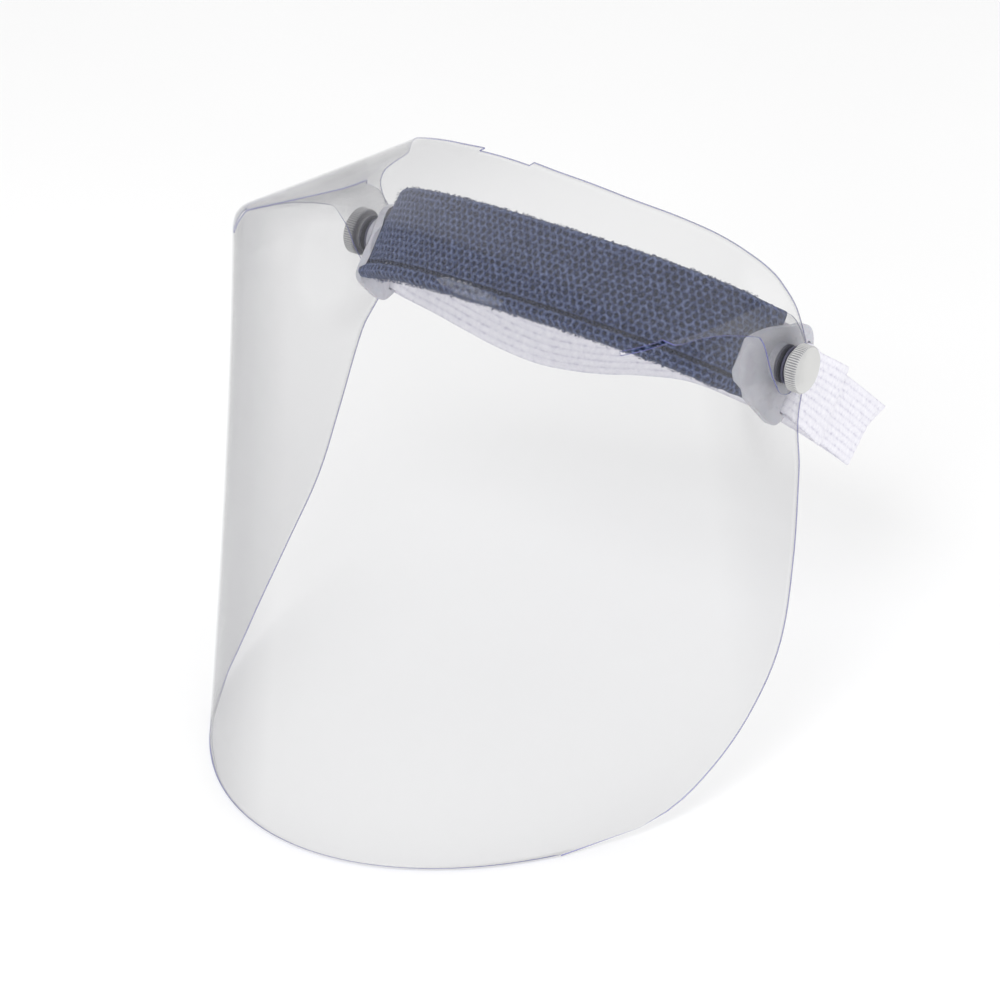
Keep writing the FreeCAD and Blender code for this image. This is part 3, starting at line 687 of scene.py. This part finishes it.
def honeycomb(a, b, pitch):
    """Height from 0 to 1 of a honeycomb weave at a place on the cloth: low in the cells, high between."""
    row_pitch = pitch * 0.866
    best = []
    row = round(b / row_pitch)
    for r in (row - 1, row, row + 1):
        shift = 0.5 * pitch if r % 2 else 0.0
        column = round((a - shift) / pitch)
        for c in (column - 1, column, column + 1):
            best.append(math.hypot(a - shift - c * pitch, b - r * row_pitch))
    best.sort()
    return 1.0 - smoothstep((best[1] - best[0]) / (pitch * 0.55))


SLEEVE_PROFILE = [
    # (distance out from the strip's middle line, height) round the tube, from the top of the outer face
    (1.75, 15.8), (1.95, 12.0), (2.0, 6.0), (2.0, 0.0), (1.95, -6.0), (1.85, -10.6), (1.7, -12.0),
    (0.95, SEAM_UP), (1.7, -13.7), (2.2, -15.0), (2.15, -16.8), (1.3, -18.1), (-0.6, -18.6), (-2.6, -18.4),
    (-4.6, -17.6), (-5.8, -15.8), (-6.2, -12.0), (-6.3, -4.0), (-6.3, 4.0), (-6.2, 11.0), (-5.7, 15.2),
    (-4.4, 17.3), (-2.4, 18.2), (-0.3, 18.3), (1.1, 17.4),
]
PAD_PROFILE = [
    (-1.2, 14.5), (-1.0, 0.0), (-1.2, -14.5), (-2.4, -16.0), (-3.8, -15.6), (-4.6, -13.0), (-4.9, 0.0),
    (-4.6, 13.0), (-3.8, 15.4), (-2.4, 15.8),
]


def closed_profile(points, count):
    """Evenly spaced places and outward normals round a closed profile."""
    loop = [Vector(p) for p in points]
    fine = []
    n = len(loop)
    for i in range(n):
        around = loop[i - 1], loop[i], loop[(i + 1) % n], loop[(i + 2) % n]
        fine += [curve_point(*around, k / 12.0) for k in range(12)]
    fine.append(fine[0].copy())
    return resample(fine, count)[:-1]


def cloth_height(distance, around, out, up, from_end):
    """Pile value of the towelling, darker in the honeycomb's cells and in the sewn groove as painted shade,
    and how far it stands out, at a place on the sleeve.
    """
    inner_flat = smoothstep((abs(out - SLEEVE_MIDDLE) - 2.2) / 1.5) if out < 0 else 1.0
    drift = noise.noise_vector(Vector((distance * 0.55, around * 0.55, 7.0))) * 0.6
    inner_shift = 40.0 if out < -2.0 else 0.0
    cell = honeycomb(distance + drift.x, up + drift.y + inner_shift, CELL_PITCH)
    groove = smoothstep((1.1 - abs(up - SEAM_UP)) / 0.6) if out > 0.0 else 0.0
    fuzz = noise.noise(Vector((distance * 1.6, around * 1.6, 3.0))) * 0.22
    fuzz += noise.noise(Vector((distance * 4.0, around * 4.0, 9.0))) * 0.16
    wave = noise.noise(Vector((distance * 0.05, up * 0.04, 1.0))) * 0.5
    # The cloth is pressed flat beside the end plates.
    fade = mix(0.1, 1.0, smoothstep((from_end - 9.0) / 9.0))
    swell = (cell * 0.75 * inner_flat + fuzz + wave) * fade - 0.35
    swell -= 0.45 * smoothstep((18.0 - from_end) / 9.0)
    # The first value is painted shade: darker in the honeycomb's cells, and darker still in the sewn groove
    # above the hem.
    return cell * (1.0 - groove) - 0.5 * groove, swell


def build_sleeve():
    """The towelling tube, with its rolled hem low down. It ends on a slant, longer at the top."""
    along = 430
    path = band_path(along, -1.0)
    profile = closed_profile(SLEEVE_PROFILE, 150)
    total = path[-1][2]
    vertices = []
    pile_tone_and_shade = []
    for place, normal, distance in path:
        from_end = min(distance, total - distance)
        pinch = smoothstep(from_end / 4.0)
        hem = 0.35 * noise.noise(Vector((distance * 0.25, 5.0, 5.0)))
        for (out, up), _, around in profile:
            height, swell = cloth_height(distance, around, out, up, from_end)
            # This value carries the painted shade in the cells and in the sewn groove.
            pile_tone_and_shade.append(height)
            out_by = out * mix(0.55, 1.0, pinch) + swell * (1.0 if out > SLEEVE_MIDDLE else -1.0)
            up_by = up * (1.006 if up > 0 else 1.0) + hem * (1.0 if up < -12 else 0.3)
            back = mix(8.5, 1.0, smoothstep((up_by + 4.0) / 20.0)) * smoothstep((22.0 - from_end) / 22.0)
            vertices.append((place.x + normal.x * out_by, place.y + normal.y * out_by - back, up_by))
    count = len(profile)
    faces = []
    wrap_rings(faces, 0, along + 1, count)
    faces.append(list(range(count)))
    faces.append([along * count + k for k in reversed(range(count))])
    sleeve = new_object("sweatband_towelling", [from_band(*v) for v in vertices], faces, TOWEL)
    paint(sleeve, "pile_tone_and_shade", pile_tone_and_shade)
    return sleeve


def build_loops(count=3600):
    """Short loops of yarn that stand off the towelling, mostly seen along its edges."""
    path = band_path(FINE_PATH, -12.0)
    vertices = []
    faces = []
    edges_up = [(-18.4, -1.0), (18.2, 1.0)]
    for index in range(count):
        place, normal, distance = path[random.randrange(8, len(path) - 8)]
        ahead = Vector((-normal.y, normal.x))
        if index % 2:
            edge, way = edges_up[index // 2 % 2]
            out = random.uniform(-5.2, 1.2)
            up = edge + random.uniform(-0.3, 0.1) * way
            stand = Vector((0.0, 0.0, way))
        else:
            out = 2.2
            up = random.uniform(-17.5, 17.2)
            stand = Vector((normal.x, normal.y, 0.0))
        base = Vector((place.x + normal.x * out, place.y + normal.y * out, up))
        side = Vector((ahead.x, ahead.y, 0.0)) * random.uniform(-1, 1)
        side += Vector((0, 0, random.uniform(-1, 1)))
        side = (side - stand * side.dot(stand)).normalized()
        size = random.uniform(0.35, 0.75)
        points = []
        for k in range(5):
            angle = math.pi * k / 4.0
            points.append(base + side * (math.cos(angle) * size * 0.5) + stand * (math.sin(angle) * size))
        tube(vertices, faces, points, 0.1, 3)
    loops = new_object("sweatband_yarn_loops", [from_band(*v) for v in vertices], faces, TOWEL)
    paint(loops, "pile_tone_and_shade", [random.uniform(0.2, 1.1) for _ in vertices])
    return loops


def build_seam():
    """The sewn line above the rolled hem: short stitches that lie in the groove."""
    path = band_path(FINE_PATH, -9.0)
    vertices = []
    faces = []
    for start in range(12, len(path) - 20, 9):
        points = []
        for k in range(5):
            place, normal, _ = path[start + k]
            lift = 1.15 + 0.45 * math.sin(math.pi * k / 4.0)
            points.append(Vector((place.x + normal.x * lift, place.y + normal.y * lift, SEAM_UP)))
        tube(vertices, faces, points, 0.22)
    seam = new_object("sweatband_hem_stitches", [from_band(*v) for v in vertices], faces, TOWEL)
    paint(seam, "pile_tone_and_shade", [0.25] * len(vertices))
    return seam


def tube(vertices, faces, points, radius, sides=6):
    """Add a closed round tube along points."""
    start = len(vertices)
    for i, point in enumerate(points):
        ahead = (points[min(i + 1, len(points) - 1)] - points[max(i - 1, 0)]).normalized()
        other = Vector((0, 0, 1)) if abs(ahead.z) < 0.9 else Vector((1, 0, 0))
        side = ahead.cross(other).normalized()
        top = side.cross(ahead)
        size = radius * (0.45 if i in (0, len(points) - 1) else 1.0)
        for k in range(sides):
            angle = 2.0 * math.pi * k / sides
            vertices.append(point + side * (math.cos(angle) * size) + top * (math.sin(angle) * size))
    wrap_rings(faces, start, len(points), sides)
    faces.append([start + k for k in reversed(range(sides))])
    last = start + (len(points) - 1) * sides
    faces.append([last + k for k in range(sides)])


def build_pad():
    """The foam lining: a soft strip inside the sleeve that shows at its ends."""
    along = 160
    path = band_path(along, -0.5)
    profile = closed_profile(PAD_PROFILE, 36)
    count = len(profile)
    vertices = []
    faces = []
    for place, normal, distance in path:
        for p, _, _ in profile:
            out = p.x + 0.1 * noise.noise(Vector((distance * 0.8, p.y * 0.8, 2.0)))
            vertices.append(from_band(place.x + normal.x * out, place.y + normal.y * out, p.y))
    wrap_rings(faces, 0, along + 1, count)
    faces.append(list(range(count)))
    faces.append([along * count + k for k in reversed(range(count))])
    return new_object("brow_foam_pad", vertices, faces, FOAM)


# ---------------------------------------------------------------- the elastic strap
PLATE_IN = 89.5
PLATE_OUT = 91.9
PLATE_MIDDLE = 90.7
STRAP_T = 1.2
STRAP_LOW = -15.6         # lower and upper edge in the headband's frame
STRAP_HIGH = 12.6
STRAP_RIBS = 10
SLOT_MIDDLE = 15.9        # of the slot in each end plate, behind the pivot axis
SEWN_AT = 29.0            # the turned-back end meets the strap here, behind the pivot axis
SEWN_END = 56.0
LOOP_STEPS = 110          # divisions along each sewn loop and along the rear run
REAR_STEPS = 320
STITCHES = 15             # in each row across the strap
NEAR_ROWS = (33.0, 36.0, 50.5, 53.0)    # distances behind the pivot axis
FAR_ROWS = ((86.6, 33.8), (85.2, 36.2), (79.4, 46.8), (78.0, 49.2))    # and with the half width

# Lower and upper edge of the strap's rear run in the headband's frame, (x, back, up).
REAR_LOW = [(86.0, 90.0, -15.8), (86.0, 93.0, -15.8), (84.2, 94.6, -15.4), (78.0, 95.2, -13.6),
            (66.0, 96.0, -10.6), (50.0, 97.0, -7.2), (30.0, 97.0, -4.4), (7.0, 95.0, -3.2),
            (-12.0, 92.6, -6.8), (-28.0, 88.4, -12.0), (-42.0, 84.4, -15.4), (-54.0, 79.0, -17.3),
            (-66.0, 67.3, -17.6), (-75.0, 53.2, -16.9), (-82.0, 40.0, -16.2), (-87.4, 31.0, -15.8),
            (-89.9, 24.0, -15.6)]
REAR_HIGH = [(86.0, 101.0, 12.6), (86.0, 104.6, 12.6), (84.4, 106.4, 12.9), (78.0, 107.0, 14.6),
             (66.0, 107.0, 17.4), (50.0, 106.6, 20.4), (30.0, 105.4, 23.0), (7.0, 102.0, 24.2),
             (-12.0, 98.0, 20.8), (-28.0, 92.4, 15.9), (-42.0, 87.2, 12.7), (-54.0, 80.6, 10.9),
             (-66.0, 68.0, 10.6), (-75.0, 53.6, 11.2), (-82.0, 40.2, 11.9), (-87.4, 31.0, 12.4),
             (-89.9, 24.0, 12.6)]


def smooth_line(points, count):
    """Evenly spaced places on a smooth line through points in space."""
    vectors = [Vector(p) for p in points]
    fine = []
    last = len(vectors) - 1
    for i in range(last):
        around = vectors[max(i - 1, 0)], vectors[i], vectors[i + 1], vectors[min(i + 2, last)]
        fine += [curve_point(*around, k / 16.0) for k in range(16)]
    fine.append(vectors[-1])
    return [place for place, _ in even_places(fine, count)]


def strap_ribbon(vertices, faces, grooves, low, high, across=60):
    """A closed band between a lower and an upper line, with ribs along its length on both faces."""
    first = len(vertices)
    last = len(low) - 1
    for i in range(last + 1):
        before, after = max(i - 1, 0), min(i + 1, last)
        ahead = (low[after] - low[before]) + (high[after] - high[before])
        width = high[i] - low[i]
        normal = ahead.cross(width).normalized()
        front = []
        back = []
        groove_shade = []
        for k in range(across + 1):
            share = k / across
            middle = low[i].lerp(high[i], share)
            groove = math.cos(math.pi * STRAP_RIBS * share) ** 6
            edge = math.sqrt(max(0.0, 1.0 - (2.0 * abs(share - 0.5)) ** 24))
            half = STRAP_T * (0.5 - 0.2 * groove) * (0.35 + 0.65 * edge)
            # The groove's depth is also kept, as painted shade for the grooves.
            groove_shade.append(groove)
            front.append(middle + normal * half)
            back.append(middle - normal * half)
        vertices.extend(front + back[::-1])
        grooves.extend(groove_shade + groove_shade[::-1])
    size = 2 * (across + 1)
    wrap_rings(faces, first, last + 1, size)
    faces.append([first + k for k in reversed(range(size))])
    faces.append([first + last * size + k for k in range(size)])


def loop_line(side, up, layer_end, spread=0.0):
    """Round the plate's bar: from the sewn place outside, through the slot, and back inside."""
    out_x = PLATE_OUT + 0.9
    in_x = PLATE_IN - 0.9
    return [
        (side * (PLATE_MIDDLE + 0.62), layer_end, up + spread), (side * (PLATE_MIDDLE + 0.75), SEWN_AT, up),
        (side * (out_x - 0.3), 24.0, up), (side * out_x, 20.5, up), (side * (out_x - 0.1), 17.4, up),
        (side * (out_x - 0.9), SLOT_MIDDLE + 0.2, up), (side * PLATE_MIDDLE, SLOT_MIDDLE, up),
        (side * (in_x + 0.9), SLOT_MIDDLE + 0.2, up), (side * (in_x + 0.1), 17.4, up),
        (side * in_x, 20.5, up), (side * (in_x + 0.3), 24.0, up),
        (side * (PLATE_MIDDLE - 0.75), SEWN_AT, up),
    ]


def build_strap():
    """The elastic in three runs: the near loop, the run round the back of the head and the far loop."""
    vertices = []
    faces = []
    grooves = []
    inside = PLATE_MIDDLE - 0.6
    # Near side: outer sewn layer and loop.
    low = [(inside, SEWN_END + 0.6, STRAP_LOW - 1.8)] + loop_line(1, STRAP_LOW, 45.0, -1.0)
    high = [(inside, SEWN_END, STRAP_HIGH + 2.4)] + loop_line(1, STRAP_HIGH, 45.0, 1.4)
    strap_ribbon(vertices, faces, grooves, smooth_line(low, LOOP_STEPS), smooth_line(high, LOOP_STEPS))
    # Inner layer on to the fold, and round the back of the head.
    low = ([(inside, SEWN_AT - 1.0, STRAP_LOW), (88.3, 50.0, STRAP_LOW), (87.3, 72.0, STRAP_LOW)]
           + REAR_LOW)
    high = ([(inside, SEWN_AT - 1.0, STRAP_HIGH), (88.3, 50.0, STRAP_HIGH), (87.3, 80.0, STRAP_HIGH)]
            + REAR_HIGH)
    strap_ribbon(vertices, faces, grooves, smooth_line(low, REAR_STEPS), smooth_line(high, REAR_STEPS))
    # Far side: sewn layer and loop. The loop's own first place is left out.
    low = [(-76.6, 53.0, -16.6), (-83.4, 41.0, -16.0)] + loop_line(-1, STRAP_LOW, 34.0)[1:]
    high = [(-76.6, 53.4, 11.3), (-83.4, 41.2, 12.0)] + loop_line(-1, STRAP_HIGH, 34.0)[1:]
    strap_ribbon(vertices, faces, grooves, smooth_line(low, LOOP_STEPS), smooth_line(high, LOOP_STEPS))
    strap = new_object("elastic_strap_ribbed", [from_band(*v) for v in vertices], faces, ELASTIC)
    # These values paint shade into the grooves between the ribs.
    paint(strap, "groove", grooves)
    return strap


def build_stitches(name, rows):
    """Rows of short stitches across the strap. Each row gives its lower and upper end and its lift."""
    vertices = []
    faces = []
    for low, high, lift in rows:
        low, high, lift = Vector(low), Vector(high), Vector(lift)
        for k in range(STITCHES):
            a = low.lerp(high, (k + 0.12) / STITCHES)
            b = low.lerp(high, (k + 0.88) / STITCHES)
            middle = a.lerp(b, 0.5) + lift * 0.22
            tube(vertices, faces, [a, a.lerp(middle, 0.6) + lift * 0.1, middle,
                                   b.lerp(middle, 0.6) + lift * 0.1, b], 0.2)
    return new_object(name, [from_band(*v) for v in vertices], faces, THREAD)


def near_row(back):
    x = PLATE_MIDDLE + 0.6 - 0.03 * (back - SEWN_AT)
    return (x, back, STRAP_LOW + 1.5), (x, back, STRAP_HIGH - 1.5), (1, 0, 0)


def far_row(x, back):
    return (-x - 0.5, back, -14.6), (-x - 0.5, back, 11.0), (-0.87, 0.5, 0)


# ---------------------------------------------------------------- put it together
visor = build_visor()
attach(visor, "visor")
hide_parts("visor_sheet")

sleeve = build_sleeve()
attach(sleeve, "headband")
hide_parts("sweatband_sleeve")

loops = build_loops()
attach(loops, "headband")

seam = build_seam()
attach(seam, "headband")

pad = build_pad()
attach(pad, "headband")
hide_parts("brow_pad")

strap = build_strap()
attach(strap, "headband")
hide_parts("elastic_strap")

near_stitches = build_stitches("strap_stitches_left", [near_row(back) for back in NEAR_ROWS])
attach(near_stitches, "headband")
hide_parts("strap_stitching_left")

far_stitches = build_stitches("strap_stitches_right", [far_row(x, back) for x, back in FAR_ROWS])
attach(far_stitches, "headband")
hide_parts("strap_stitching_right")

CAD_MATERIALS = {
    "headband_strip": PLATE, "end_plate_left": PLATE, "end_plate_right": PLATE,
    "pivot_nut_left": STEEL, "pivot_nut_right": STEEL, "knob_stud_left": STEEL, "knob_stud_right": STEEL,
    "inner_washer_left": WASHER_DARK_SHADE, "inner_washer_right": WASHER_DARK_SHADE,
    "outer_washer_left": WASHER_DARK_SHADE, "outer_washer_right": WASHER_DARK_SHADE,
    "knob_cap_left": KNOB, "knob_cap_right": KNOB,
}
for node, material in CAD_MATERIALS.items():
    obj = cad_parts[node]
    obj.data.materials.clear()
    obj.data.materials.append(material)


# ---------------------------------------------------------------- floor, light and camera
FLOOR_GAP = 0.0012        # metres
FLOOR_HALF = 3
WORLD_STRENGTH = 0.94
AZIMUTH = math.radians(35.48)
ELEVATION = math.radians(28.68)
CAMERA_PLACE = (0.9273, -1.3505, 0.8085)

floor_z = cad_bounds[0][2] - FLOOR_GAP
corners = [(x * FLOOR_HALF, y * FLOOR_HALF, floor_z) for x, y in ((-1, -1), (1, -1), (1, 1), (-1, 1))]
floor = new_object("floor", corners, [[0, 1, 2, 3]], floor_material(), smooth=False)

world = bpy.data.worlds.new("studio")
world.use_nodes = True
background = world.node_tree.nodes["Background"]
background.inputs["Color"].default_value = (1.0, 1.0, 1.0, 1.0)
background.inputs["Strength"].default_value = WORLD_STRENGTH
bpy.context.scene.world = world


def area_light(name, place, target, size, power):
    light = bpy.data.lights.new(name, "AREA")
    light.shape = "DISK"
    light.size = size
    light.energy = power
    obj = bpy.data.objects.new(name, light)
    obj.location = place
    obj.rotation_euler = (Vector(target) - Vector(place)).to_track_quat("-Z", "Y").to_euler()
    bpy.context.scene.collection.objects.link(obj)


area_light("key", (0.35, -1.18, 1.10), (0.0, 0.0, -0.08), 0.8, 10.0)
area_light("side", (1.4, 0.1, 0.7), (0.0, -0.05, 0.0), 0.8, 1.5)

# The camera is solved from the photograph: it looks at the part from its own left, above and in front.
back = Vector((math.sin(AZIMUTH) * math.cos(ELEVATION), -math.cos(AZIMUTH) * math.cos(ELEVATION),
               math.sin(ELEVATION)))
right = Vector((math.cos(AZIMUTH), math.sin(AZIMUTH), 0.0))
up = back.cross(right)
camera_data = bpy.data.cameras.new("camera")
camera_data.sensor_width = 36.0
camera_data.lens = 173.0
camera_data.clip_end = 20.0
camera = bpy.data.objects.new("camera", camera_data)
rotation = Matrix((right, up, back)).transposed()
camera.matrix_world = Matrix.Translation(Vector(CAMERA_PLACE)) @ rotation.to_4x4()
bpy.context.scene.collection.objects.link(camera)
bpy.context.scene.camera = camera
bpy.context.scene.view_settings.view_transform = "Standard"
